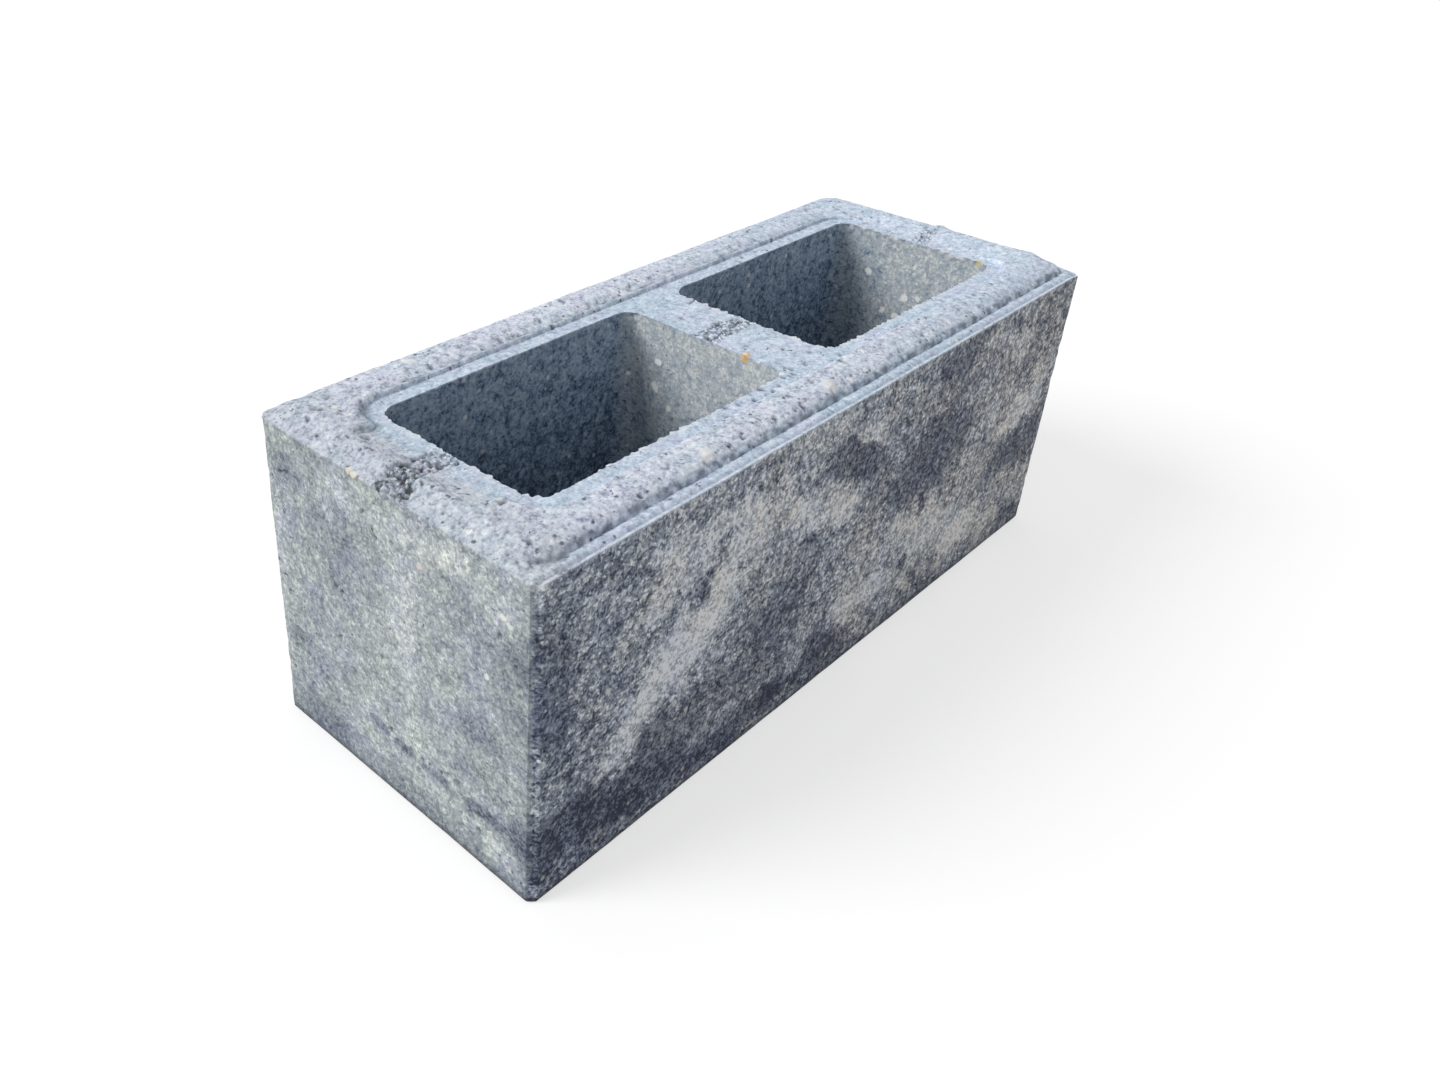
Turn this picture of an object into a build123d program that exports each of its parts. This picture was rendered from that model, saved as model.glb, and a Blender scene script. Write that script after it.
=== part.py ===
from build123d import *
import os
from math import atan, degrees

# Hollow concrete block with two cores, filled into a mould and tamped as one casting.
# Millimetres. The origin is the middle of the underside, +X runs along the length and
# +Z points up, to the tamped face. The walls are mould faces, and the top carries what
# the tamper leaves: a raised band round the edge, a lower field round the cores, and a
# groove across each web where the bar that holds the mould's cores passes over it.

# Block as the mould makes it, up to the ledge round its top
length = 500
width = 200
ledge_height = 190
corner_chamfer = 4

# Walls and cores, measured at the top, where a core is widest
shell = 42
end_web = 40
middle_web = 37
core_radius = 12
core_draft = 2

# Tamped band: how far it stands back from each face, and its round shoulder
band_rise = 6
front_ledge = 9
back_ledge = 5
left_ledge = 8
right_ledge = 3
band_radius = 12
shoulder_radius = 5

# Lower field that the tamper presses round the cores, with a foot over each end web
field_drop = 3.5
field_shoulder = 3
side_margin = 10
end_margin = 7
margin_radius = 18
foot_reach = 21
foot_step = 6
foot_radius = 4

# Torn groove that the core bar leaves in the field
bar_width = 16
bar_depth = 1.5

# Places and sizes that follow from those above
band_height = ledge_height + band_rise
field_height = band_height - field_drop
groove_height = field_height - bar_depth
band_length = length - left_ledge - right_ledge
band_width = width - front_ledge - back_ledge
band_x = (left_ledge - right_ledge) / 2
band_y = (front_ledge - back_ledge) / 2
core_length = (length - 2 * end_web - middle_web) / 2
core_width = width - 2 * shell
core_pitch = core_length + middle_web
cores_length = 2 * core_length + middle_web
field_length = cores_length + 2 * end_margin
field_width = core_width + 2 * side_margin
foot_length = cores_length + 2 * foot_reach
foot_width = field_width - 2 * margin_radius - 2 * foot_step
draft_angle = degrees(atan(core_draft / field_height))

with BuildPart() as concrete_block:
    # The mould's plain block, with its four upright edges cut
    with BuildSketch(Plane.XY) as outline:
        Rectangle(length, width)
        chamfer(outline.vertices(), corner_chamfer)
    extrude(amount=ledge_height)

    # Tamped band over the whole top, with its outer edge rolled off
    with BuildSketch(Plane.XY.offset(ledge_height)) as band:
        with Locations((band_x, band_y)):
            RectangleRounded(band_length, band_width, band_radius)
    extrude(amount=band_rise)
    fillet(concrete_block.faces().sort_by(Axis.Z)[-1].edges(), shoulder_radius)

    # Field round the cores, wider on the end webs, with the band rolled off into it
    with BuildSketch(Plane.XY.offset(band_height)) as field:
        RectangleRounded(field_length, field_width, margin_radius)
        Rectangle(foot_length, foot_width)
        foot_corners = field.vertices().filter_by_position(Axis.Y, -foot_width / 2, foot_width / 2)
        fillet(foot_corners, foot_radius)
    extrude(amount=-field_drop, mode=Mode.SUBTRACT)
    band_top = concrete_block.faces().sort_by(Axis.Z)[-1]
    fillet(band_top.inner_wires()[0].edges(), field_shoulder)

    # Core bar's groove, along the middle of the field
    with BuildSketch(Plane.XY.offset(field_height)) as bar:
        Rectangle(foot_length, bar_width)
    extrude(amount=groove_height - field_height, mode=Mode.SUBTRACT)

    # Cores, right through, narrower towards the underside
    with BuildSketch(Plane.XY.offset(field_height)) as cores:
        with GridLocations(core_pitch, 0, 2, 1):
            RectangleRounded(core_length, core_width, core_radius)
    extrude(amount=-field_height, taper=draft_angle, mode=Mode.SUBTRACT)

concrete_block.part.label = "concrete_block"
os.makedirs("parts", exist_ok=True)
export_step(concrete_block.part, "parts/concrete_block.step")
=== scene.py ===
import math
import random
from types import SimpleNamespace

import bmesh
import bpy
from mathutils import Matrix, Vector, kdtree, noise


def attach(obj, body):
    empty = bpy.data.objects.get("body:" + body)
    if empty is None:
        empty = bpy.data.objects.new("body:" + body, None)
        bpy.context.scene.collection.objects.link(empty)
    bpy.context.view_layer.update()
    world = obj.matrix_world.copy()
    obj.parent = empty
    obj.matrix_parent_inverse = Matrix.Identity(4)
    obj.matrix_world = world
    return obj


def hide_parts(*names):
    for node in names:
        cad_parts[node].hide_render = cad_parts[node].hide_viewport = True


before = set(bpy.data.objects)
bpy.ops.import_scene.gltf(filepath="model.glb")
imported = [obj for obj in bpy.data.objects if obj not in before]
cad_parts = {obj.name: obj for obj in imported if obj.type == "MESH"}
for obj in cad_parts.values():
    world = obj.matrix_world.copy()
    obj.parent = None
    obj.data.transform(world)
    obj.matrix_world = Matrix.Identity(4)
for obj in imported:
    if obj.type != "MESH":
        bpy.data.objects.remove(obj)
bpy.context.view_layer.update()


# The cast block: a hollow block of dry concrete, mixed from slate, grey and beige batches, filled
# into a steel mould, tamped from above and pushed out at once. Its mesh is a copy of the packed
# solid, cut fine enough to carry the relief that the mould and the tamper leave.

# Sizes in millimetres, as the block was modelled
ledge_height = 190
field_height = 192.5
core_centre = 114.25
core_half_length = 95.75
core_half_width = 58
core_radius = 12
band_centre = Vector((2.5, 2))
band_half_length = 244.5
band_half_width = 93
band_radius = 12
field_half_length = 217
field_half_width = 68
field_radius = 18
foot_half_length = 231
bar_half_width = 8
bar_depth = 1.5
core_draft = 2
band_rise = 6
half_length = 250
half_width = 100
metre = 1000

block = bmesh.new()
block.from_mesh(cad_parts["concrete_block"].data)
bmesh.ops.scale(block, vec=(metre, metre, metre), verts=block.verts)
bmesh.ops.remove_doubles(block, verts=block.verts, dist=0.001)
bmesh.ops.dissolve_limit(block, angle_limit=math.radians(0.5), verts=block.verts, edges=block.edges)


def cut(axis, place):
    """Cuts the whole block by a plane square to one axis."""
    square = Vector((0, 0, 0))
    square[axis] = 1
    everything = [*block.verts, *block.edges, *block.faces]
    snap = 0.12
    bmesh.ops.bisect_plane(block, geom=everything, dist=snap, plane_co=square * place, plane_no=square)


# A square grid of cuts over all walls
wall_grid = 4.8
for axis, low, high in ((2, 0, ledge_height), (1, -half_width, half_width), (0, -half_length, half_length)):
    cells = round((high - low) / wall_grid)
    for cell in range(1, cells):
        cut(axis, low + (high - low) * cell / cells)

# Closer cuts along the worn foot, the top arris and the foot of the band, and on the front ledge
foot_wear_height = 1.4
arris_drop = 1.3
band_foot_height = 191.3
for height in (foot_wear_height, ledge_height - arris_drop, ledge_height, band_foot_height):
    cut(2, height)
for from_front in (0.9, 1.8, 2.8, 4.0, 5.5):
    cut(1, from_front - half_width)


def rounded_gap(x, y, half_x, half_y, radius):
    """How far a point lies outside a rounded rectangle about the origin, and less than 0 inside it."""
    past_x = abs(x) - half_x + radius
    past_y = abs(y) - half_y + radius
    return math.hypot(max(past_x, 0), max(past_y, 0)) + min(max(past_x, past_y), 0) - radius


def core_gap(x, y):
    """How far a point lies from the rim of the nearer core."""
    return rounded_gap(abs(x) - core_centre, y, core_half_length, core_half_width, core_radius)


def both_cores_gap(x, y):
    """How far a point lies from the rounded rectangle round both cores and the web between them."""
    return rounded_gap(x, y, core_centre + core_half_length, core_half_width, core_radius)


def band_gap(x, y):
    """How far a point lies outside the foot of the tamped band."""
    return rounded_gap(x - band_centre.x, y - band_centre.y, band_half_length, band_half_width, band_radius)


def field_gap(x, y):
    """How far a point lies outside the lower field round the cores."""
    return rounded_gap(x, y, field_half_length, field_half_width, field_radius)


def way_in(gap, x, y):
    """The level way of length one in which a gap shrinks fastest."""
    reach = 0.2
    way = Vector((gap(x - reach, y) - gap(x + reach, y), gap(x, y - reach) - gap(x, y + reach), 0))
    return way.normalized() if way.length > 0 else Vector((0, 0, 0))


def ramp(value, low, high):
    """Nought at low, one at high, and smooth between them."""
    share = min(max((value - low) / (high - low), 0), 1)
    return share * share * (3 - 2 * share)


def bump(value, middle, reach):
    """One at the middle, falling to nought at reach on both sides of it."""
    return ramp(abs(value - middle), reach, 0)


def lumps(place, size, seed=0):
    """Random relief from about -1 to 1, whose lumps measure about size."""
    return 1.6 * noise.noise(place / size + Vector((seed, -seed, 0.37 * seed)))


def crumbs(place, size, seed=0):
    """Relief of packed round grains: 1 at the top of a grain, and 0 or less in the crevices."""
    nearest = noise.voronoi(place / size + Vector((seed, -seed, 0.37 * seed)))[0][0]
    return 1 - 2.1 * nearest * nearest


def torn(x, y):
    """How much the core bar has torn the top at a point: strips over the webs, with ragged sides."""
    if core_gap(x, y) < 0 or abs(abs(x) - core_centre) < core_half_length:
        return 0
    on_edge = ramp(x, -236, -244)
    side = abs(y - 1 + 4 * on_edge) - 3 * on_edge + 1.6 * lumps(Vector((x, y, 0)), 6, 4)
    if x > core_centre:
        return 0.8 * ramp(side, bar_half_width - 1, bar_half_width - 4)
    return ramp(side, bar_half_width + 1.5, bar_half_width - 1)


# Pits that air left in the mould faces, as middle and radius: the large ones that the photograph
# shows, and many small ones
random.seed(41)
pits = [
    (Vector((-188, -100, 125)), 2.6),
    (Vector((-190, -100, 120)), 1.9),
    (Vector((-218, -100, 107)), 1.6),
    (Vector((-250, -78, 153)), 1.8),
    (Vector((-250, 43, 114)), 2.2),
    (Vector((-250, 38, 113)), 1.8),
    (Vector((-250, 84, 163)), 2.0),
    (Vector((-250, 80, 165)), 1.6),
    (Vector((-250, 92, 157)), 1.8),
    (Vector((-250, 4, 44)), 1.8),
    (Vector((-250, -7, 37)), 2.1),
    (Vector((-250, -35, 42)), 2.0),
    (Vector((-250, -48, 44)), 2.3),
    (Vector((-250, -57, 38)), 2.5),
    (Vector((-250, -63, 34)), 2.0),
    (Vector((-250, -81, 54)), 1.8),
    (Vector((-250, 58, 45)), 1.7),
    (Vector((-250, 72, 32)), 1.5),
    (Vector((-250, 85, 51)), 1.9),
    (Vector((-250, 79, 58)), 1.7),
    (Vector((-250, 65, 70)), 1.6),
    (Vector((-250, 20, 43)), 1.4),
    (Vector((-250, -21, 128)), 1.3),
    (Vector((-250, 56, 98)), 1.4),
]
small_pits = 150
edge_margin = 8
for number in range(small_pits):
    along = random.uniform(-1, 1)
    height = random.uniform(edge_margin, ledge_height - edge_margin)
    side = number % 10
    if side < 7:
        wall = half_width if side > 3 else -half_width
        middle = Vector((along * (half_length - edge_margin), wall, height))
    else:
        wall = half_length if side > 8 else -half_length
        middle = Vector((wall, along * (half_width - edge_margin), height))
    pits.append((middle, random.uniform(0.9, 1.9)))

pit_places = kdtree.KDTree(len(pits))
for number, (pit, size) in enumerate(pits):
    pit_places.insert(pit, number)
pit_places.balance()

# Pits in the top that the photograph shows: along the front of the left core, and single ones
rim_pits = (
    (Vector((-82.5, -65.5)), 1.9), (Vector((-75, -59)), 1.6), (Vector((-67, -61)), 1.5),
    (Vector((-63.5, -61.5)), 1.2), (Vector((-57, -64)), 2.0), (Vector((-54, -59)), 1.3),
    (Vector((-45, -59.5)), 2.6), (Vector((-42, -65)), 2.1), (Vector((-34.5, -63)), 2.0),
    (Vector((-24, -59)), 1.7), (Vector((-20.5, -60.5)), 1.8), (Vector((-17.5, -60.5)), 1.9),
    (Vector((-13.5, -56)), 2.1), (Vector((-3, -58)), 2.0), (Vector((-150, 80)), 1.8),
    (Vector((-143, 78)), 1.5), (Vector((-230, 73)), 2.2), (Vector((222, 70)), 2.0),
    (Vector((220, 62)), 2.2), (Vector((150, -76)), 1.8), (Vector((226, 3)), 2.0),
    (Vector((-221, -1)), 2.8), (Vector((-228, -2)), 2.4), (Vector((-246, -12)), 2.8),
    (Vector((-229, 7)), 2.2), (Vector((-218, 8)), 1.8), (Vector((-250, 3)), 2.2),
)


def halve(wanted, longest):
    """Halves the long edges of the faces whose middles are wanted."""
    long = {edge for face in block.faces if wanted(face.calc_center_median())
            for edge in face.edges if edge.calc_length() > longest}
    bmesh.ops.subdivide_edges(block, edges=list(long), cuts=1, use_grid_fill=True)


def near_top(middle):
    """Whether a face lies on the top, or just under it on a wall."""
    return middle.z > ledge_height - 4


def needs_detail(middle):
    """Whether a face lies on a rim, a lip, a pit or a torn strip, or where the shoulder shows most."""
    if middle.z < ledge_height - 0.2:
        return False
    rim = core_gap(middle.x, middle.y)
    lip = middle.y < -half_width + 14
    near_end = middle.x < 0 and band_gap(middle.x, middle.y) > -5
    pitted = any((middle.xy - pit).length < size + 1.5 for pit, size in rim_pits)
    return rim > -0.5 and (rim < 2.2 or lip or near_end or pitted or torn(middle.x, middle.y) > 0.05)


def is_torn(middle):
    """Whether a face lies on the torn strips."""
    return middle.z > ledge_height - 0.2 and torn(middle.x, middle.y) > 0.3


def has_pit(middle):
    """Whether a pit lies on a face of the walls or beside it."""
    return pit_places.find(middle)[2] < wall_grid


halve(near_top, 2.5)
halve(needs_detail, 1.5)
halve(is_torn, 0.9)
halve(has_pit, 2.5)
halve(has_pit, 1.3)

# Edges that stay sharp: the arrises, the rims and the foot of the band, apart from its worn left end
sharp_angle = math.radians(32)
for edge in block.edges:
    middle = (edge.verts[0].co + edge.verts[1].co) / 2
    worn = middle.x < -225 and abs(band_gap(middle.x, middle.y)) < 0.6
    edge.smooth = worn or edge.calc_face_angle(0) < sharp_angle


def top_zones(x, y):
    """Where a point of the top lies, and how far it belongs to each part of the top, from 0 to 1."""
    channel_bend = Vector((-209, 62))
    outside = band_gap(x, y)
    step = field_gap(x, y)
    front = ramp(y, -66, -80)
    left = ramp(x, -222, -236)
    back = ramp(y, 30, 55) * ramp(x, 216, 204)
    on_band = ramp(both_cores_gap(x, y), 8, 14) * ramp(outside, 0.5, -3)
    return SimpleNamespace(
        outside=outside,
        step=step,
        front=front,
        left=left,
        back=back,
        tear=torn(x, y),
        crown=max(on_band, left) * (1 - 0.85 * ramp(x, -20, 190)),
        shoulder=ramp(outside, -12, -4) * ramp(outside, 1.0, -0.5),
        crease=bump(outside, -0.3, 1.5) * front * ramp(x, -246, -236),
        inner_step=bump(step, 2.5, 4) * back,
        bend=ramp((Vector((x, y)) - channel_bend).length, 24, 12),
    )


def tamped_skin(x, y, zones):
    """The skin's relief, its pits and its loose crumbs. It is coarser on the crown and where torn."""
    spot = Vector((x, y, 0))
    coarse = 0.25 + 0.4 * zones.crown + 0.15 * zones.shoulder * max(zones.front, zones.left, 0.3)
    coarse += 0.5 * zones.inner_step + 1.4 * zones.tear + 0.5 * zones.left
    grain = crumbs(spot, 2.2, 3) - 0.35
    relief = 0.28 * lumps(spot, 34, 1) + 0.12 * lumps(spot, 11, 2)
    relief += coarse * (0.50 * grain + 0.32 * lumps(spot, 1.6, 5))
    crumb_and_highlight = max(0, grain - 0.25) * min(1, coarse) * 1.2
    loose = lumps(spot, 2.7, 7) + 0.5 * lumps(spot, 6, 8)
    closed = 1.02 + 0.16 * ramp(x, 140, 215) - 0.10 * zones.shoulder * max(zones.front, 0.7 * zones.left)
    closed -= 0.35 * zones.inner_step + 0.50 * zones.tear + 0.14 * zones.crown
    pit = min(1, max(0, loose - closed) * 2.4)
    for middle, size in rim_pits:
        pit = max(pit, ramp((spot.xy - middle).length, size, 0.35 * size))
    relief -= (1.2 + 1.0 * zones.tear) * pit
    return relief, pit, crumb_and_highlight


def domed_band(x, y, z, zones):
    """The way to the band's dome from the solid's flat top with its round shoulder."""
    dome_reach = 13
    drawn_in = 0.35
    end_lift = 2.5
    move = Vector((0, 0, 0))
    raised = end_lift * zones.left * ramp(y, -92, -76)
    domed = max(zones.front, zones.left)
    if zones.outside < 0.05 and z > ledge_height + 0.1 and domed > 0:
        inside = -zones.outside + drawn_in * (z - ledge_height)
        inside = min(inside * dome_reach / (dome_reach + drawn_in * band_rise), dome_reach)
        if -zones.outside < dome_reach:
            move += way_in(band_gap, x, y) * (inside + zones.outside) * domed
        step = 0.3 * zones.front * ramp(x, -246, -236)
        rounded = 1 - (1 - min(max(inside / dome_reach, 0), 1)) ** 2.1
        reached = step * ramp(inside, 0, 0.9) + (1 - step) * rounded
        move.z += (ledge_height + raised + (band_rise - raised) * reached - z) * domed
    elif zones.outside > -0.05:
        move.z += raised * ramp(zones.outside, 8.2, 0)
    return move


def smeared(x, y, height, zones):
    """The height of a point once the feet of the core bar have smeared the step on each end web."""
    past_foot = abs(x) - foot_half_length
    if x < 0:
        share = ramp(abs(y), 47, 39) * ramp(past_foot, -14, -9) * ramp(zones.outside, -3, -8)
        rise = 2.6
    else:
        share = ramp(abs(y), 62, 46) * ramp(past_foot, -16, -9) * ramp(zones.outside, -1, -4)
        rise = 3.4
    smear = field_height + rise * ramp(past_foot, -12, 7)
    return height + (smear - height) * share


# Stones under the tamped skin that the photograph shows: middle, radius and height
stones = (
    (Vector((-123, -84)), 7.0, 1.0),
    (Vector((-20, -84)), 7.5, 1.1),
    (Vector((-165, 85)), 6.0, 0.9),
    (Vector((95, -80)), 6.0, 0.7),
    (Vector((-212, 74)), 3.5, 0.8),
    (Vector((-17.5, -28)), 2.6, 0.9),
)


def single_marks(x, y):
    """Marks of this one casting: sunk corners, swellings at the right end, stones and a scraped ridge."""
    flat = Vector((x, y))
    far_corner = Vector((half_length, half_width))
    low_corner = Vector((half_length, -half_width))
    ridge_start = Vector((209, -70))
    ridge_end = Vector((229, -79))
    relief = -1.2 * ramp((flat - far_corner).length, 26, 6) - 0.8 * ramp((flat - low_corner).length, 14, 4)

    # A swelling near the low corner, and a lump where the torn strip ends
    relief += 1.2 * ramp(x, 226, 238) * bump(y, -68, 22)
    relief += 2.0 * ramp(x, 234, 241) * bump(y, -1, 8)
    for middle, size, height in stones:
        relief += height * ramp((flat - middle).length, size, size * 0.35)
    share = (flat - ridge_start).dot(ridge_end - ridge_start) / (ridge_end - ridge_start).length_squared
    nearest = ridge_start.lerp(ridge_end, min(max(share, 0), 1))
    on_ridge = ramp((flat - nearest).length, 2.2, 0.3)
    return relief + 1.1 * on_ridge, on_ridge


def broken_line(place, size, seed, cover, contrast):
    """How much of a line of painted shade shows at a place, where it comes and goes with lumps of a size.
    """
    return min(1, max(0, cover + contrast * lumps(place, size, seed)))


def shade_lines(place, zones):
    """Painted shade at the foot of the band, along the step behind the cores and round its left end, where
    their walls face away from the lamp.
    """
    x, y = place.xy
    channel = (1 - zones.bend) * broken_line(place, 3, 23, 0.42, 1.1)
    round_bend = bump(zones.step, 1.6, 3.2) * zones.bend * ramp(x + y, -136, -150) * ramp(y, 44, 50)
    return max(
        0.8 * zones.crease * broken_line(place, 4, 11, 0.45, 1.2),
        0.55 * zones.inner_step * channel,
        0.6 * round_bend,
        0.6 * bump(y, 45.0, 1.5) * bump(x, -228, 8),
    )


def shape_top(vert):
    """The move of a point on the tamped top, its painted shade in pits and lines, its pale crumbs with a
    painted highlight, and its crown and tear.
    """
    place = vert.co.copy()
    x, y, z = place
    zones = top_zones(x, y)
    tear = zones.tear
    relief, shaded_depth, crumb_and_highlight = tamped_skin(x, y, zones)
    move = domed_band(x, y, z, zones)

    # The lower channel behind the cores
    relief -= 1.5 * ramp(zones.step, 10, 3) * ramp(zones.step, 0, 2) * zones.back * (1 - zones.bend)

    # The bar's groove, filled again by torn crumbs
    in_groove = abs(y) < bar_half_width + 0.1 and abs(x) < foot_half_length + 0.1
    if in_groove and z < field_height - 0.1:
        move.z += field_height - z
    move.z = smeared(x, y, z + move.z, zones) - z
    if tear > 0:
        torn_height = 192.3 - 1.2 * ramp(x, -228, -244) + 2.4 * ramp(x, 216, 236)
        relief += (torn_height - z - move.z) * (0.8 if x < core_centre else 0.4) * tear

    # The ledge, with a raised lip and a scored line along the front
    if zones.outside > 0:
        from_front = y + half_width
        from_edge = min(from_front, half_width - y, half_length - abs(x))
        relief += 0.55 * bump(from_front, 0.8, 1.5) - 1.0 * bump(from_front, 2.8, 1.7)
        relief += 0.25 * bump(from_front, 5.6, 2.2)
        # Painted shade in the scored line, and a pale line along the lip that is partly pale crumbs and
        # partly a painted highlight
        shaded_depth = max(shaded_depth, 0.42 * bump(from_front, 2.7, 1.6))
        crumb_and_highlight = max(crumb_and_highlight, 0.45 * bump(from_front, 0.6, 1.4) * ramp(y, -90, -96))
        relief *= 0.45 + 0.55 * max(tear, ramp(from_edge, 0, 4))

    marks, on_ridge = single_marks(x, y)
    relief += marks - 0.6 * zones.crease * (0.8 + 0.8 * lumps(place, 6, 11))
    crumb_and_highlight = max(crumb_and_highlight, on_ridge)
    shaded_depth = max(shaded_depth, shade_lines(place, zones))
    upright = tear > 0.2 or in_groove or zones.outside > -4
    move += Vector((0, 0, relief)) if upright else vert.normal * relief

    # The band's corner above the low corner, drawn out
    band_corner = Vector((245, -89))
    drawn = 1.6 * ramp((place.xy - band_corner).length, 9, 2) * bump(zones.outside, -1, 4)
    move += Vector((0.7, -0.7, 0)) * drawn
    return move, shaded_depth, crumb_and_highlight, zones.crown, tear


def shape_wall(vert):
    """The move of a point on a mould face, and its pit, whose depth is also painted as shade: a slight
    wave, air pits and nicked arrises.
    """
    arris_reach = 5
    place = vert.co.copy()
    x, y = place.xy
    move = vert.normal * (0.16 * lumps(place, 38, 14) + 0.08 * lumps(place, 8, 15))
    _, number, distance = pit_places.find(place)
    size = pits[number][1]
    shaded_depth = ramp(distance, size, 0.5 * size)
    move -= vert.normal * size * 0.8 * shaded_depth
    if abs(x) > half_length - arris_reach and abs(y) > half_width - arris_reach:
        nick = max(0, lumps(place, 5, 16)) * 0.4
        move -= Vector((math.copysign(nick, x), math.copysign(nick, y), 0))
        if x > 0 and y < 0:
            move.x += 0.8
        if x < 0 and y > 0:
            move += Vector((0.4, -0.4, 0))
    return move, shaded_depth


# The height from which a core's wall changes, and how far round its rim the points move
lean_start = 60
rim_reach = 4


def shape_rim(place, gap):
    """The move and the crumbs of a point near a core's rim, whose edge hangs over in loose crumbs."""
    x, y, z = place
    way = way_in(core_gap, x, y)
    right_core = ramp(x, 0, 10)
    jag = max(0, crumbs(place, 4.2, 21) - 0.30) + 0.5 * max(0, crumbs(place, 2.3, 24) - 0.42)
    overhang = max(way.x, 0) * (1.3 + 0.9 * right_core + (1.6 + 1.4 * right_core) * jag)
    overhang += max(way.y, 0) * (0.2 + 1.9 * jag) + (0.35 + 1.7 * max(-way.x, 0) * right_core) * jag
    overhang *= ramp(z, ledge_height - 5, field_height - 0.6)

    # The right core's far wall leans back towards the top
    leaning = max(-way.x, 0) * right_core * 2.6 * ramp(z, lean_start, ledge_height)
    loose_rim = ramp(z, ledge_height - 4, ledge_height) * max(way.x, way.y, -way.x * right_core, 0)
    crumb_and_highlight = min(1, 1.1 * jag * ramp(gap, 3.5, 1) * loose_rim)
    return way * (overhang - leaning) * ramp(gap, rim_reach, 0), crumb_and_highlight


tamped = block.verts.layers.float.new("tamped")
crowned = block.verts.layers.float.new("crowned")
# Painted shade in pits, pores, the scored line and along the band's steps
hollow_shade = block.verts.layers.float.new("hollow_shade")
# Pale crumbs, and a painted highlight along the front lip
crumbs_and_highlight = block.verts.layers.float.new("crumbs_and_highlight")
ragged = block.verts.layers.float.new("ragged")
core_wall = block.verts.layers.float.new("core_wall")
block.normal_update()
foot_wear = 0.7
foot_wear_reach = 3
moves = {}
for vert in block.verts:
    place = vert.co.copy()
    x, y, z = place
    gap = core_gap(x, y)
    in_core = gap < 0.3 - core_draft * (1 - z / field_height)
    rim_height = field_height - (bar_depth if abs(y) < bar_half_width + 0.1 else 0)
    on_top = z > ledge_height - 0.01 and (gap > 0.03 or z > rim_height - 0.05)
    move = Vector((0, 0, 0))
    shaded_depth = 0
    crumb_and_highlight = 0
    crown = 0
    tear = 0
    if on_top:
        move, shaded_depth, crumb_and_highlight, crown, tear = shape_top(vert)
    elif in_core:
        move = vert.normal * (0.30 * lumps(place, 30, 12) + 0.12 * lumps(place, 9, 13))
    elif z > 0.1:
        move, shaded_depth = shape_wall(vert)
    if z > lean_start and abs(gap) < rim_reach:
        rim_move, rim_crumb = shape_rim(place, gap)
        move += rim_move
        crumb_and_highlight = max(crumb_and_highlight, rim_crumb)

    # The underside, hardly rough, with a worn edge
    if z < 0.1:
        move.z = max(0, 0.2 + 0.2 * lumps(place, 12, 17))
        if not in_core:
            worn_x = math.copysign(ramp(abs(x), half_length - foot_wear_reach, half_length), x)
            worn_y = math.copysign(ramp(abs(y), half_width - foot_wear_reach, half_width), y)
            move -= Vector((worn_x, worn_y, 0)) * foot_wear
    moves[vert] = move
    vert[tamped] = 1 if on_top else 0
    vert[crowned] = crown
    vert[hollow_shade] = shaded_depth
    vert[crumbs_and_highlight] = crumb_and_highlight
    vert[ragged] = tear
    vert[core_wall] = 1 if in_core and not on_top else 0
for vert, move in moves.items():
    vert.co += move

# The groove's filled sides have folded flat, so their slivers go
bmesh.ops.dissolve_degenerate(block, dist=0.001, edges=block.edges)
bmesh.ops.triangulate(block, faces=[face for face in block.faces if len(face.verts) > 4])
bmesh.ops.scale(block, vec=(1 / metre, 1 / metre, 1 / metre), verts=block.verts)
for face in block.faces:
    face.smooth = True
block_mesh = bpy.data.meshes.new("cast_block")
block.to_mesh(block_mesh)
block.free()
cast_block = bpy.data.objects.new("cast_block", block_mesh)
bpy.context.scene.collection.objects.link(cast_block)


def colour(text):
    """A linear colour from the sRGB hex text that paint charts give."""
    parts = [int(text[i:i + 2], 16) / 255 for i in (1, 3, 5)]
    return (*[p / 12.92 if p <= 0.04045 else ((p + 0.055) / 1.055) ** 2.4 for p in parts], 1)


def node(tree, kind, inputs=None, **settings):
    """Adds a node with its settings, and gives each named input a value or another node's output."""
    made = tree.nodes.new(kind)
    for name, value in settings.items():
        setattr(made, name, value)
    for socket, value in (inputs or {}).items():
        if isinstance(value, bpy.types.Node):
            value = value.outputs[0]
        if isinstance(value, bpy.types.NodeSocket):
            tree.links.new(value, made.inputs[socket])
        else:
            made.inputs[socket].default_value = value
    return made


def set_stops(ramp_node, stops):
    """Gives a colour ramp its places and colours."""
    elements = ramp_node.color_ramp.elements
    while len(elements) < len(stops):
        elements.new(0.5)
    for element, (position, text) in zip(elements, stops):
        element.position = position
        element.color = colour(text)


# Melange concrete, cast dry: batches of slate, grey and beige lie in swathes that break up into
# single grains at their borders. The tamped top is paler and bluer, with lilac on its crown.
# Sizes of the patterns are in millimetres. Sockets by number: a map range goes from 1 and 2 to 3 and
# 4, and a colour mix has its share in 0, its colours in 6 and 7, and gives output 2.
melange = bpy.data.materials.new("melange_concrete")
melange.use_nodes = True
tree = melange.node_tree
tree.nodes.clear()
place = node(tree, "ShaderNodeTexCoord").outputs["Object"]

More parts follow.
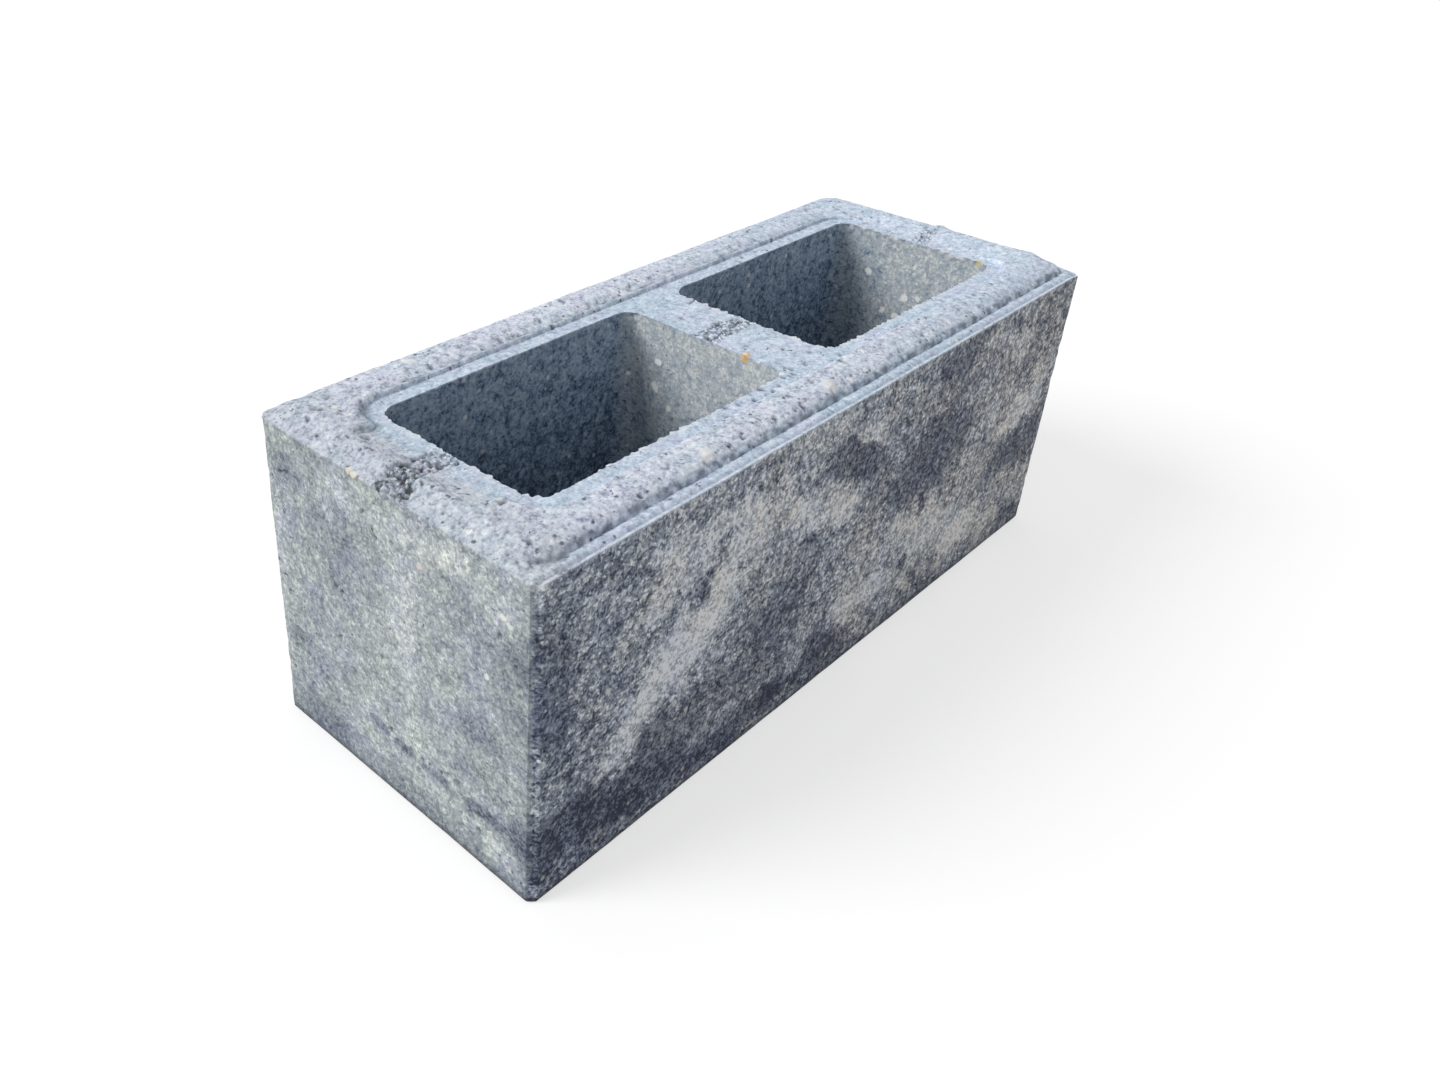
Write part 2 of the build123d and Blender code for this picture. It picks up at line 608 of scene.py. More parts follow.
# Swathes of the batches, in millimetres and degrees: middle, reach, rise to the right, and how much
# paler they are. The first group is on the front, the second on the left end.
front_face = -100
left_face = -250
swathes = (
    ((-155, front_face, 98), (68, 40, 24), 39, 0.42),
    ((-115, front_face, 125), (26, 40, 22), 30, 0.22),
    ((-185, front_face, 65), (26, 40, 22), 0, 0.15),
    ((-28, front_face, 128), (52, 40, 15), -15, 0.36),
    ((-50, front_face, 145), (15, 40, 12), 0, 0.18),
    ((-9, front_face, 118), (17, 40, 11), 0, 0.16),
    ((-168, front_face, 150), (28, 40, 14), 53, 0.22),
    ((10, front_face, 170), (28, 40, 9), 0, 0.22),
    ((140, front_face, 173), (26, 40, 10), 0, 0.12),
    ((102, front_face, 172), (28, 40, 14), 0, -0.18),
    ((186, front_face, 168), (26, 40, 18), 0, 0.20),
    ((190, front_face, 96), (26, 40, 14), 0, 0.14),
    ((186, front_face, 20), (22, 40, 16), 0, 0.18),
    ((228, front_face, 14), (20, 40, 14), 0, -0.20),
    ((-116, front_face, 152), (50, 40, 30), 0, 0.38),
    ((-135, front_face, 54), (52, 40, 20), 0, -0.22),
    ((-188, front_face, 20), (24, 40, 16), 0, -0.50),
    ((-61, front_face, 24), (24, 40, 14), 0, -0.32),
    ((-20, front_face, 14), (66, 40, 12), 0, -0.26),
    ((207, front_face, 110), (42, 40, 18), 24, 0.36),
    ((22, front_face, 45), (44, 40, 20), -18, 0.27),
    ((85, front_face, 68), (52, 40, 25), -12, 0.23),
    ((145, front_face, 37), (40, 40, 18), 0, 0.38),
    ((-240, front_face, 130), (22, 40, 66), 0, -0.20),
    ((-132, front_face, 146), (30, 40, 10), 52, -0.34),
    ((0, front_face, 153), (50, 40, 20), -33, -0.40),
    ((82, front_face, 114), (80, 40, 36), 0, -0.28),
    ((-205, front_face, 35), (85, 40, 24), 0, -0.55),
    ((-74, front_face, 68), (46, 40, 42), 20, -0.20),
    ((-100, front_face, 20), (90, 40, 16), 0, -0.26),
    ((-8, front_face, 26), (30, 40, 13), 0, -0.36),
    ((212, front_face, 72), (48, 40, 28), 0, -0.34),
    ((75, front_face, 45), (11, 40, 9), 0, -0.34),
    ((85, front_face, 85), (11, 40, 9), 0, -0.28),
    ((left_face, -10, 130), (30, 17, 66), 0, 0.15),
    ((left_face, -47, 178), (30, 15, 12), 0, 0.10),
    ((left_face, 5, 160), (30, 15, 12), 0, 0.04),
    ((left_face, -17, 52), (30, 20, 12), 0, 0.12),
    ((left_face, 36, 60), (30, 20, 12), 0, -0.14),
    ((left_face, 82, 166), (30, 18, 12), 0, -0.22),
    ((left_face, 40, 168), (30, 20, 16), 0, 0.12),
    ((left_face, -80, 170), (30, 22, 14), 0, 0.11),
    ((left_face, 88, 120), (30, 10, 30), 0, 0.08),
    ((left_face, -82, 142), (30, 20, 14), 0, -0.05),
    ((left_face, -62, 88), (30, 26, 16), 0, -0.16),
    ((left_face, -64, 38), (30, 18, 6), 0, -0.42),
    ((left_face, -32, 35), (30, 17, 5), 0, -0.32),
    ((left_face, -8, 38), (30, 12, 5), 0, -0.38),
    ((left_face, 14, 42), (30, 14, 5), 0, -0.34),
    ((left_face, 82, 58), (30, 16, 10), 0, -0.22),
    ((left_face, 38, 138), (30, 26, 34), 0, -0.05),
    ((left_face, -5, 176), (30, 80, 15), 0, 0.13),
    ((left_face, -60, 58), (30, 26, 12), 0, -0.13),
    ((left_face, -80, 20), (30, 22, 14), 0, 0.24),
    ((left_face, 10, 95), (30, 18, 20), 0, 0.06),
    ((left_face, 56, 14), (30, 30, 16), 0, -0.14),
    ((left_face, -40, 14), (30, 60, 10), 0, -0.06),
)

# Their borders drift by up to 35 mm, and less on the calm left end, over a slight change of batch
clump_size = 38.46
batch_size = 90.91
drift = node(
    tree, "ShaderNodeTexNoise",
    {"Vector": place, "Scale": metre / clump_size, "Detail": 5, "Roughness": 0.62},
)
drifted = node(
    tree, "ShaderNodeVectorMath", {0: drift.outputs["Color"], 1: (0.5, 0.5, 0.5)}, operation="SUBTRACT"
)
split = node(tree, "ShaderNodeSeparateXYZ", {"Vector": place})
calm = node(tree, "ShaderNodeMapRange", {"Value": split.outputs["X"], 1: -0.2495, 2: -0.2480, 3: 1, 4: 0})
spread = node(tree, "ShaderNodeMapRange", {"Value": calm, 3: 0.07, 4: 0.025})
drifted = node(tree, "ShaderNodeVectorMath", {0: drifted, "Scale": spread}, operation="SCALE")
drifted = node(tree, "ShaderNodeVectorMath", {0: drifted, 1: place}, operation="ADD")
batch = node(
    tree, "ShaderNodeTexNoise",
    {"Vector": place, "Scale": metre / batch_size, "Detail": 5, "Distortion": 0.8},
)
shade = node(tree, "ShaderNodeMath", {0: batch, 1: 0.5, 2: -0.25}, operation="MULTIPLY_ADD")
for middle, reach, rise, paler in swathes:
    patch = node(
        tree, "ShaderNodeMapping",
        {
            "Vector": drifted,
            "Location": Vector(middle) / metre,
            "Rotation": (0, -math.radians(rise), 0),
            "Scale": Vector(reach) / metre,
        },
        vector_type="TEXTURE",
    )
    patch = node(tree, "ShaderNodeTexGradient", {"Vector": patch}, gradient_type="SPHERICAL")
    patch = node(
        tree, "ShaderNodeMapRange", {"Value": patch.outputs["Fac"], 2: 0.6},
        interpolation_type="SMOOTHSTEP",
    )
    shade = node(tree, "ShaderNodeMath", {0: patch, 1: paler, 2: shade}, operation="MULTIPLY_ADD")

# Sides that the photograph hides get swathes of their own
fold_size = 111.1
away = node(tree, "ShaderNodeMapRange", {"Value": split.outputs["Y"], 1: -0.095, 2: -0.04})
beyond = node(tree, "ShaderNodeMath", {0: calm, 1: -1, 2: 1}, operation="MULTIPLY_ADD")
hidden = node(tree, "ShaderNodeMath", {0: away, 1: beyond}, operation="MULTIPLY")
folded = node(
    tree, "ShaderNodeTexNoise",
    {"Vector": drifted, "Scale": metre / fold_size, "Detail": 3, "Distortion": 1.5},
)
folded = node(tree, "ShaderNodeMapRange", {"Value": folded.outputs[0], 1: 0.38, 2: 0.62, 3: -0.24, 4: 0.24})
folded = node(tree, "ShaderNodeMath", {0: folded, 1: hidden, 2: shade}, operation="MULTIPLY_ADD")

# Grain: mottling, sand, and grit whose grains each have a shade of their own, with gaps round stones.
# The real sand is finer, but it is too fine to show, so it is drawn as coarse as this.
mottle_size = 10
sand_size = 1.4286
grit_size = 1.6667
stone_size = 4.348
mottle = node(
    tree, "ShaderNodeTexNoise",
    {"Vector": place, "Scale": metre / mottle_size, "Detail": 5, "Roughness": 0.65},
)
sand = node(
    tree, "ShaderNodeTexNoise",
    {"Vector": place, "Scale": metre / sand_size, "Detail": 3, "Roughness": 0.7},
)
gravel = node(tree, "ShaderNodeTexVoronoi", {"Vector": place, "Scale": metre / stone_size}, feature="F1")
grit = node(tree, "ShaderNodeTexVoronoi", {"Vector": place, "Scale": metre / grit_size}, feature="F1")
grit_shade = node(tree, "ShaderNodeSeparateXYZ", {"Vector": grit.outputs["Color"]})
mottled = node(tree, "ShaderNodeMath", {0: mottle, 1: 0.8, 2: -0.4}, operation="MULTIPLY_ADD")
sanded = node(tree, "ShaderNodeMath", {0: sand, 1: 1.1, 2: -0.55}, operation="MULTIPLY_ADD")
packed = node(
    tree, "ShaderNodeMath", {0: gravel.outputs["Distance"], 1: -0.36, 2: 0.18}, operation="MULTIPLY_ADD"
)
gritty = node(
    tree, "ShaderNodeMath", {0: grit_shade.outputs["X"], 1: 0.34, 2: -0.17}, operation="MULTIPLY_ADD"
)
for part in (sanded, packed):
    gritty = node(tree, "ShaderNodeMath", {0: gritty, 1: part}, operation="ADD")

# Each swathe's border breaks up into clumps and single grains
broken = node(tree, "ShaderNodeMath", {0: mottled, 1: 1.1, 2: folded}, operation="MULTIPLY_ADD")
broken = node(tree, "ShaderNodeMath", {0: gritty, 1: 0.45, 2: broken}, operation="MULTIPLY_ADD")
broken = node(
    tree, "ShaderNodeMapRange", {"Value": broken, 1: -0.19, 2: 0.19, 3: 0.45, 4: 0.69},
    interpolation_type="SMOOTHSTEP",
)
shade = node(tree, "ShaderNodeMath", {0: folded, 1: 0.52, 2: broken}, operation="MULTIPLY_ADD")
for part, share in ((mottled, 0.36), (gritty, 1.2)):
    shade = node(tree, "ShaderNodeMath", {0: part, 1: share, 2: shade}, operation="MULTIPLY_ADD")

# The end that the photograph shows is paler and calmer than the front, and the hidden sides lie between
end_shade = node(tree, "ShaderNodeMath", {0: folded, 1: 0.7, 2: 0.59}, operation="MULTIPLY_ADD")
for part, share in ((mottled, 0.6), (gritty, 0.68)):
    end_shade = node(tree, "ShaderNodeMath", {0: part, 1: share, 2: end_shade}, operation="MULTIPLY_ADD")
calmer = node(tree, "ShaderNodeMath", {0: hidden, 1: 0.7}, operation="MULTIPLY")
calmer = node(tree, "ShaderNodeMath", {0: calmer, 1: calm}, operation="MAXIMUM")
shade = node(tree, "ShaderNodeMix", {0: calmer, 2: shade, 3: end_shade})

# Darker towards the foot, over the lowest 24 mm
foot = node(tree, "ShaderNodeMapRange", {"Value": split.outputs["Z"], 1: 0.0, 2: 0.024, 3: -0.18, 4: 0})
shade = node(tree, "ShaderNodeMath", {0: shade, 1: foot}, operation="ADD")
walls = node(tree, "ShaderNodeValToRGB", {"Fac": shade})
set_stops(walls, (
    (0.00, "#22283a"), (0.12, "#41485c"), (0.25, "#606777"), (0.41, "#828996"),
    (0.59, "#a3a9b1"), (0.74, "#c3c7cb"), (0.88, "#e3e5e7"), (1.00, "#ffffff"),
))

# Hue of the batches: blue slate towards the left of the front, brown and beige towards the right
hue_size = 33.33
hue = node(
    tree, "ShaderNodeTexNoise",
    {"Vector": place, "Scale": metre / hue_size, "Detail": 6, "Roughness": 0.7},
)
hue = node(tree, "ShaderNodeMath", {0: hue, 1: 2.4, 2: -0.7}, operation="MULTIPLY_ADD")
hue = node(
    tree, "ShaderNodeMath", {0: split.outputs["X"], 1: 0.9, 2: hue},
    operation="MULTIPLY_ADD", use_clamp=True,
)
tint = node(tree, "ShaderNodeValToRGB", {"Fac": hue})
set_stops(tint, ((0.0, "#edf1ff"), (0.35, "#f7faff"), (0.65, "#fdfbf9"), (1.0, "#fff7f1")))

# The left end is greener or bluer in patches, and has no other hue
patch_size = 25
patchy = node(
    tree, "ShaderNodeTexNoise",
    {"Vector": place, "Scale": metre / patch_size, "Detail": 5, "Roughness": 0.65},
)
end_tint = node(tree, "ShaderNodeValToRGB", {"Fac": patchy})
set_stops(end_tint, ((0.38, "#f5f7fc"), (0.5, "#f8fbf6"), (0.62, "#f9fcf2")))
tint = node(
    tree, "ShaderNodeMix", {0: calm, 6: tint.outputs["Color"], 7: end_tint.outputs["Color"]},
    data_type="RGBA",
)
walls = node(
    tree, "ShaderNodeMix", {0: 1.0, 6: walls.outputs["Color"], 7: tint.outputs[2]},
    data_type="RGBA", blend_type="MULTIPLY",
)

# Core walls, dragged upright by the withdrawn cores, with painted light and shade: slate blue in painted
# shade where they face the front, and paler and neutral in painted light where they face left, towards the
# lamp
drag_width = 5.5556
drag = node(tree, "ShaderNodeMapping", {"Vector": place, "Scale": (1, 1, 0.65)})
drag = node(
    tree, "ShaderNodeTexNoise",
    {"Vector": drag, "Scale": metre / drag_width, "Detail": 6, "Roughness": 0.75},
)
# How far a core wall faces the lamp's side, which sets its painted light
lit_side = node(tree, "ShaderNodeNewGeometry")
lit_side = node(
    tree, "ShaderNodeVectorMath", {0: lit_side.outputs["Normal"], 1: (-1, 0, 0)}, operation="DOT_PRODUCT"
)
lit_side = node(tree, "ShaderNodeMath", {0: lit_side.outputs["Value"], 1: 0}, operation="MAXIMUM")
core_shade = node(tree, "ShaderNodeMath", {0: drag, 1: 1.0, 2: -0.14}, operation="MULTIPLY_ADD")
for part, share in ((gritty, 0.9), (lit_side, 0.33), (mottled, 0.5)):
    core_shade = node(tree, "ShaderNodeMath", {0: part, 1: share, 2: core_shade}, operation="MULTIPLY_ADD")

# Painted shade: they are darker further down, and in the far corner that faces left
sunk_shade = node(tree, "ShaderNodeMapRange", {"Value": split.outputs["Z"], 1: 0.10, 2: 0.18, 3: -0.2, 4: 0})
core_shade = node(tree, "ShaderNodeMath", {0: core_shade, 1: sunk_shade}, operation="ADD")
corner_shade = node(tree, "ShaderNodeMapRange", {"Value": split.outputs["Y"], 1: 0.01, 2: 0.055})
corner_shade = node(tree, "ShaderNodeMath", {0: corner_shade, 1: lit_side}, operation="MULTIPLY")
further = node(tree, "ShaderNodeMapRange", {"Value": split.outputs["X"], 1: 0, 2: 0.2, 3: -0.10, 4: -0.26})
corner_shade = node(tree, "ShaderNodeMath", {0: corner_shade, 1: further}, operation="MULTIPLY")
core_shade = node(tree, "ShaderNodeMath", {0: core_shade, 1: corner_shade}, operation="ADD")
core_walls = node(tree, "ShaderNodeValToRGB", {"Fac": core_shade})
set_stops(core_walls, (
    (0.00, "#39475c"), (0.22, "#75869b"), (0.42, "#99a8b8"), (0.62, "#b1bbc4"),
    (0.80, "#c9cfd5"), (1.00, "#e6e9ec"),
))
# Painted light and shade in the hue: bluer where shaded, warmer where lit
core_light_tint = node(
    tree, "ShaderNodeMix", {0: lit_side, 6: colour("#f4f9ff"), 7: colour("#fcfaf4")}, data_type="RGBA"
)
core_walls = node(
    tree, "ShaderNodeMix", {0: 1.0, 6: core_walls.outputs["Color"], 7: core_light_tint.outputs[2]},
    data_type="RGBA", blend_type="MULTIPLY",
)
is_core = node(tree, "ShaderNodeAttribute", attribute_name="core_wall").outputs["Fac"]
walls = node(
    tree, "ShaderNodeMix", {0: is_core, 6: walls.outputs[2], 7: core_walls.outputs[2]}, data_type="RGBA"
)

# Tamped top: blue-white cement skin on the fields and webs, lilac and grainy on the crown
crown = node(tree, "ShaderNodeAttribute", attribute_name="crowned").outputs["Fac"]
blotch = node(
    tree, "ShaderNodeTexNoise",
    {"Vector": place, "Scale": metre / stone_size, "Detail": 4, "Roughness": 0.7},
)
blotch = node(tree, "ShaderNodeMath", {0: blotch, 1: 0.5}, operation="SUBTRACT")
rougher = node(tree, "ShaderNodeMapRange", {"Value": crown, 3: 0.75, 4: 1.3})
top_shade = node(tree, "ShaderNodeMath", {0: blotch, 1: rougher, 2: 0.52}, operation="MULTIPLY_ADD")
for part, share in ((gritty, 0.85), (mottled, 0.5)):
    top_shade = node(tree, "ShaderNodeMath", {0: part, 1: share, 2: top_shade}, operation="MULTIPLY_ADD")
fields = node(tree, "ShaderNodeValToRGB", {"Fac": top_shade})
set_stops(fields, (
    (0.05, "#74839a"), (0.30, "#a7b6c8"), (0.50, "#c0cedf"), (0.70, "#d5e0ee"), (0.95, "#f2f7fd"),
))
crowns = node(tree, "ShaderNodeValToRGB", {"Fac": top_shade})
set_stops(crowns, (
    (0.05, "#6e768a"), (0.28, "#a7b0c2"), (0.50, "#cbd3e1"), (0.70, "#dee4ef"), (0.95, "#f8f9fb"),
))
top = node(
    tree, "ShaderNodeMix", {0: crown, 6: fields.outputs["Color"], 7: crowns.outputs["Color"]},
    data_type="RGBA",
)
washes = node(tree, "ShaderNodeValToRGB", {"Fac": patchy})
set_stops(washes, ((0.4, "#f8fdfd"), (0.5, "#ffffff"), (0.6, "#fffcff")))
top = node(
    tree, "ShaderNodeMix", {0: 1.0, 6: top.outputs[2], 7: washes.outputs["Color"]},
    data_type="RGBA", blend_type="MULTIPLY",
)

# The band's left end is a little dingier
stained = node(tree, "ShaderNodeMapRange", {"Value": split.outputs["X"], 1: -0.205, 2: -0.238})
top = node(
    tree, "ShaderNodeMix", {0: stained, 6: top.outputs[2], 7: colour("#e8e9e7")},
    data_type="RGBA", blend_type="MULTIPLY",
)
is_top = node(tree, "ShaderNodeAttribute", attribute_name="tamped").outputs["Fac"]
skin = node(tree, "ShaderNodeMix", {0: is_top, 6: walls.outputs[2], 7: top.outputs[2]}, data_type="RGBA")

# Loose crumbs are pale, and so is the painted highlight along the front lip; pale chips of stone show
# through the skin
crumb_and_highlight = node(tree, "ShaderNodeAttribute", attribute_name="crumbs_and_highlight").outputs["Fac"]
crumb_and_highlight = node(tree, "ShaderNodeMath", {0: crumb_and_highlight, 1: 0.7}, operation="MULTIPLY", use_clamp=True)
skin = node(tree, "ShaderNodeMix", {0: crumb_and_highlight, 6: skin.outputs[2], 7: colour("#e3e4ea")}, data_type="RGBA")
chip_spacing = 10.526
chips = node(tree, "ShaderNodeTexVoronoi", {"Vector": place, "Scale": metre / chip_spacing}, feature="F1")
chip = node(tree, "ShaderNodeMapRange", {"Value": chips.outputs["Distance"], 1: 0.19, 2: 0.11})
chosen = node(tree, "ShaderNodeSeparateXYZ", {"Vector": chips.outputs["Color"]})
rare = node(tree, "ShaderNodeMath", {0: chosen.outputs["X"], 1: 0.60}, operation="GREATER_THAN")
chip = node(tree, "ShaderNodeMath", {0: chip, 1: rare}, operation="MULTIPLY")
chip = node(tree, "ShaderNodeMath", {0: chip, 1: chosen.outputs["Y"]}, operation="MULTIPLY")
skin = node(tree, "ShaderNodeMix", {0: chip, 6: skin.outputs[2], 7: colour("#f2f0ea")}, data_type="RGBA")

# Painted shade: dark are the small holes in every face, the pores in the top, the gaps between the crumbs
# of the torn strips, the pits that are cut into the mesh, and the lines along the band's steps and the
# ledge
hole_spacing = 7.6923
pore_spacing = 2.9412
crumb_size = 2.3256
holes = node(tree, "ShaderNodeTexVoronoi", {"Vector": drifted, "Scale": metre / hole_spacing}, feature="F1")
shaded_holes = node(tree, "ShaderNodeMapRange", {"Value": holes.outputs["Distance"], 1: 0.16, 2: 0.08})
chosen = node(tree, "ShaderNodeSeparateXYZ", {"Vector": holes.outputs["Color"]})
rare = node(tree, "ShaderNodeMath", {0: chosen.outputs["X"], 1: 0.62}, operation="GREATER_THAN")
shaded_holes = node(tree, "ShaderNodeMath", {0: shaded_holes, 1: rare}, operation="MULTIPLY")
pores = node(tree, "ShaderNodeTexVoronoi", {"Vector": place, "Scale": metre / pore_spacing}, feature="F1")
pore = node(
    tree, "ShaderNodeMath", {0: sand, 1: 0.9, 2: pores.outputs["Distance"]}, operation="MULTIPLY_ADD"
)
pore = node(tree, "ShaderNodeMapRange", {"Value": pore, 1: 0.90, 2: 0.66})
chosen = node(tree, "ShaderNodeSeparateXYZ", {"Vector": pores.outputs["Color"]})
torn_skin = node(tree, "ShaderNodeAttribute", attribute_name="ragged").outputs["Fac"]
seldom = node(tree, "ShaderNodeMath", {0: crown, 1: -0.05, 2: 0.985}, operation="MULTIPLY_ADD")
rare = node(tree, "ShaderNodeMath", {0: chosen.outputs["X"], 1: seldom}, operation="GREATER_THAN")
pore = node(tree, "ShaderNodeMath", {0: pore, 1: rare}, operation="MULTIPLY")
pore = node(tree, "ShaderNodeMath", {0: pore, 1: is_top}, operation="MULTIPLY")
gaps = node(tree, "ShaderNodeTexVoronoi", {"Vector": place, "Scale": metre / crumb_size}, feature="F1")
gaps = node(
    tree, "ShaderNodeMath", {0: blotch, 1: 1.6, 2: gaps.outputs["Distance"]}, operation="MULTIPLY_ADD"
)
gaps = node(tree, "ShaderNodeMapRange", {"Value": gaps, 1: 0.50, 2: 0.70})
gaps = node(tree, "ShaderNodeMath", {0: gaps, 1: torn_skin}, operation="MULTIPLY")
clumps = node(tree, "ShaderNodeMapRange", {"Value": mottle, 1: 0.36, 2: 0.52, 3: 0.4, 4: 1})
gaps = node(tree, "ShaderNodeMath", {0: gaps, 1: clumps}, operation="MULTIPLY")
deep_shade = node(tree, "ShaderNodeAttribute", attribute_name="hollow_shade").outputs["Fac"]
for part in (pore, gaps, deep_shade):
    shaded_holes = node(tree, "ShaderNodeMath", {0: shaded_holes, 1: part}, operation="MAXIMUM")
shaded_holes = node(tree, "ShaderNodeMath", {0: shaded_holes, 1: 0.8}, operation="MULTIPLY")
# The colour of the painted shade
shade_colour = node(
    tree, "ShaderNodeMix", {0: torn_skin, 6: colour("#3b4152"), 7: colour("#3d383d")}, data_type="RGBA"
)
skin = node(tree, "ShaderNodeMix", {0: shaded_holes, 6: skin.outputs[2], 7: shade_colour.outputs[2]}, data_type="RGBA")

# Coloured stones in the skin: middle and radius in millimetres, and colour
spots = (
    ((-18, -28.5, 191.5), 4.4, "#e3b261"),
    ((-18, -27.5, 192.5), 2.2, "#f3dcb0"),
    ((212, -47, 191), 4.0, "#cbc295"),
    ((-250, 26, 190), 2.6, "#e4dcca"),
    ((-250, 21, 190), 2.6, "#e8e1ce"),
    ((-250, 16, 190), 2.0, "#e3dac6"),
    ((-250, -81, 165), 2.4, "#ececdf"),
    ((-250, -84, 162), 2.4, "#dfe2dc"),
    ((-250, -25, 162), 2.6, "#d8cec8"),
    ((-250, -6, 110), 2.4, "#e2e4de"),
    ((-250, -70, 125), 2.2, "#e4e6e2"),
    ((-250, 30, 98), 2.0, "#dde1dc"),
    ((-250, -46, 92), 2.0, "#dde0da"),
    ((-19.5, 32, 167), 3.0, "#fafaf6"),
    ((-19.5, 33, 150), 3.5, "#fafaf6"),
    ((-20, 21, 139), 2.8, "#eeeee8"),
    ((212, 32, 162), 3.6, "#f4f4ee"),
    ((212, -9, 154), 3.0, "#eeeee8"),
    ((212, 1, 151), 3.4, "#f2f2ec"),
    ((211.5, 16, 138), 3.4, "#f6f6f0"),
    ((211.5, 5, 137), 3.2, "#f6f6f0"),
    ((-123, -84, 196), 6.0, "#e6e8e8"),
    ((-20, -84, 196), 6.5, "#e8e8ea"),
    ((-165, 85, 196), 5.0, "#eef0f2"),
)
jitter = Vector((8, 8, 8)) / metre
jittered = node(
    tree, "ShaderNodeVectorMath", {0: mottle.outputs["Color"], 1: jitter, 2: -jitter / 2},
    operation="MULTIPLY_ADD",
)
jittered = node(tree, "ShaderNodeVectorMath", {0: jittered, 1: place}, operation="ADD")
for middle, radius, text in spots:
    spot = node(
        tree, "ShaderNodeMapping",
        {
            "Vector": jittered,
            "Location": Vector(middle) / metre,
            "Scale": Vector((radius, radius, radius)) / metre,
        },
        vector_type="TEXTURE",
    )
    spot = node(tree, "ShaderNodeTexGradient", {"Vector": spot}, gradient_type="SPHERICAL")
    spot = node(tree, "ShaderNodeMapRange", {"Value": spot.outputs["Fac"], 1: 0.08, 2: 0.42, 4: 0.85})
    skin = node(tree, "ShaderNodeMix", {0: spot, 6: skin.outputs[2], 7: colour(text)}, data_type="RGBA")

# Painted contact shadow: the black line where the block meets the ground
ground_shadow = node(
    tree, "ShaderNodeMapRange", {"Value": split.outputs["Z"], 1: 0.001, 2: 0.006, 3: 0.75, 4: 0}
)
skin = node(
    tree, "ShaderNodeMix", {0: ground_shadow, 6: skin.outputs[2], 7: colour("#2b2d36")}, data_type="RGBA"
)

# Open texture between the grains, about 0.4 mm deep
height = node(tree, "ShaderNodeMath", {0: sand, 1: mottle}, operation="ADD")
height = node(
    tree, "ShaderNodeMath", {0: gravel.outputs["Distance"], 1: -0.5, 2: height}, operation="MULTIPLY_ADD"
)
height = node(tree, "ShaderNodeMath", {0: shaded_holes, 1: -0.8, 2: height}, operation="MULTIPLY_ADD")
relief = node(tree, "ShaderNodeBump", {"Strength": 0.6, "Distance": 0.0006, "Height": height})
shader = node(
    tree, "ShaderNodeBsdfPrincipled",
    {"Base Color": skin.outputs[2], "Roughness": 0.9, "Normal": relief},
)
node(tree, "ShaderNodeOutputMaterial", {"Surface": shader})
block_mesh.materials.append(melange)
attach(cast_block, "root")
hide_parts("concrete_block")


# Floor and light.
# A plain pale floor that renders white to the camera and still shows the block's soft shadow, with
# an even white surround and one wide soft lamp from the left, behind and above.
floor_size = 16
# The floor lies just under the block, so the two never share a plane
floor_drop = 0.0004
floor = bmesh.new()
bmesh.ops.create_grid(floor, x_segments=1, y_segments=1, size=floor_size / 2)
bmesh.ops.translate(floor, vec=(0, 0, -floor_drop), verts=floor.verts)
floor_mesh = bpy.data.meshes.new("studio_floor")
floor.to_mesh(floor_mesh)
floor.free()
studio_floor = bpy.data.objects.new("studio_floor", floor_mesh)
bpy.context.scene.collection.objects.link(studio_floor)


def straight_look(tree):
    """Adds what tells a look from the camera, a mirror or glass, 1, from soft light, 0."""
    rays = node(tree, "ShaderNodeLightPath").outputs
    seen = rays["Is Camera Ray"]
    for ray in ("Is Glossy Ray", "Is Transmission Ray"):
        seen = node(tree, "ShaderNodeMath", {0: seen, 1: rays[ray]}, operation="MAXIMUM").outputs[0]
    return seen


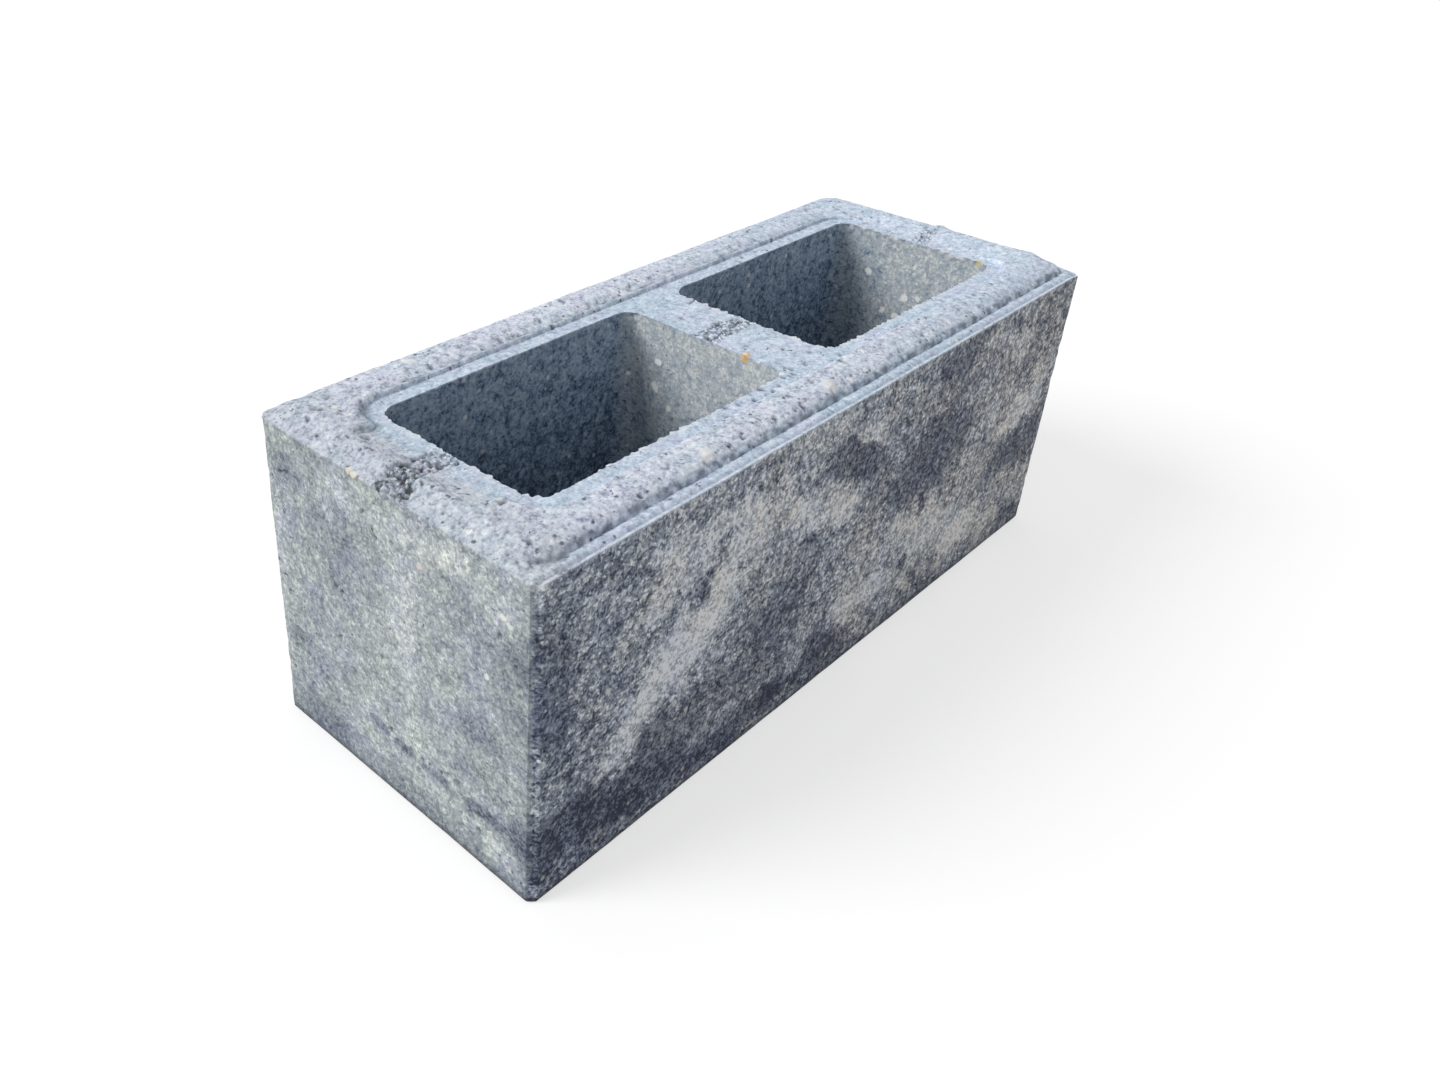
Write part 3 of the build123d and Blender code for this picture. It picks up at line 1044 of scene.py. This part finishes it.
paint = bpy.data.materials.new("floor_paint")
paint.use_nodes = True
tree = paint.node_tree
tree.nodes.clear()
plain = node(tree, "ShaderNodeBsdfDiffuse", {"Color": (0.5, 0.5, 0.5, 1)})
shown = node(tree, "ShaderNodeBsdfDiffuse", {"Color": (0.45, 0.45, 0.45, 1)})
glow = node(tree, "ShaderNodeEmission", {"Color": (1, 1, 1, 1), "Strength": 0.6})
white = node(tree, "ShaderNodeAddShader", {0: shown, 1: glow})
mixed = node(tree, "ShaderNodeMixShader", {0: straight_look(tree), 1: plain, 2: white})
node(tree, "ShaderNodeOutputMaterial", {"Surface": mixed})
floor_mesh.materials.append(paint)

world = bpy.data.worlds.new("studio")
bpy.context.scene.world = world
world.use_nodes = True
tree = world.node_tree
tree.nodes.clear()
soft = node(tree, "ShaderNodeBackground", {"Color": (1, 1, 1, 1), "Strength": 0.55})
bright = node(tree, "ShaderNodeBackground", {"Color": (1, 1, 1, 1), "Strength": 1})
mixed = node(tree, "ShaderNodeMixShader", {0: straight_look(tree), 1: soft, 2: bright})
node(tree, "ShaderNodeOutputWorld", {"Surface": mixed})

lamp = bpy.data.lights.new("wide_lamp", "SUN")
lamp.energy = 0.7 * math.pi
lamp.angle = math.radians(30)
wide_lamp = bpy.data.objects.new("wide_lamp", lamp)
bpy.context.scene.collection.objects.link(wide_lamp)
lamp_side = Vector((-0.70, 0.42, 0.60))
wide_lamp.rotation_euler = lamp_side.to_track_quat("Z", "Y").to_euler()


# Camera.
# Its place, direction and lens were solved from the block's own edges in the photograph.
camera_data = bpy.data.cameras.new("camera")
camera_data.lens = 30.412
camera_data.sensor_width = 36
camera_data.shift_x = 0.11435
camera_data.shift_y = -0.05806
camera = bpy.data.objects.new("camera", camera_data)
bpy.context.scene.collection.objects.link(camera)
bpy.context.scene.camera = camera
camera.location = (-0.52935, -0.3771, 0.48414)
camera_forward = Vector((0.62023, 0.59758, -0.50815))
camera_right = Vector((0.70367, -0.71013, 0.02375))
camera_up = camera_right.cross(camera_forward)
camera.rotation_euler = Matrix((camera_right, camera_up, -camera_forward)).transposed().to_euler()
bpy.context.scene.view_settings.view_transform = "Standard"
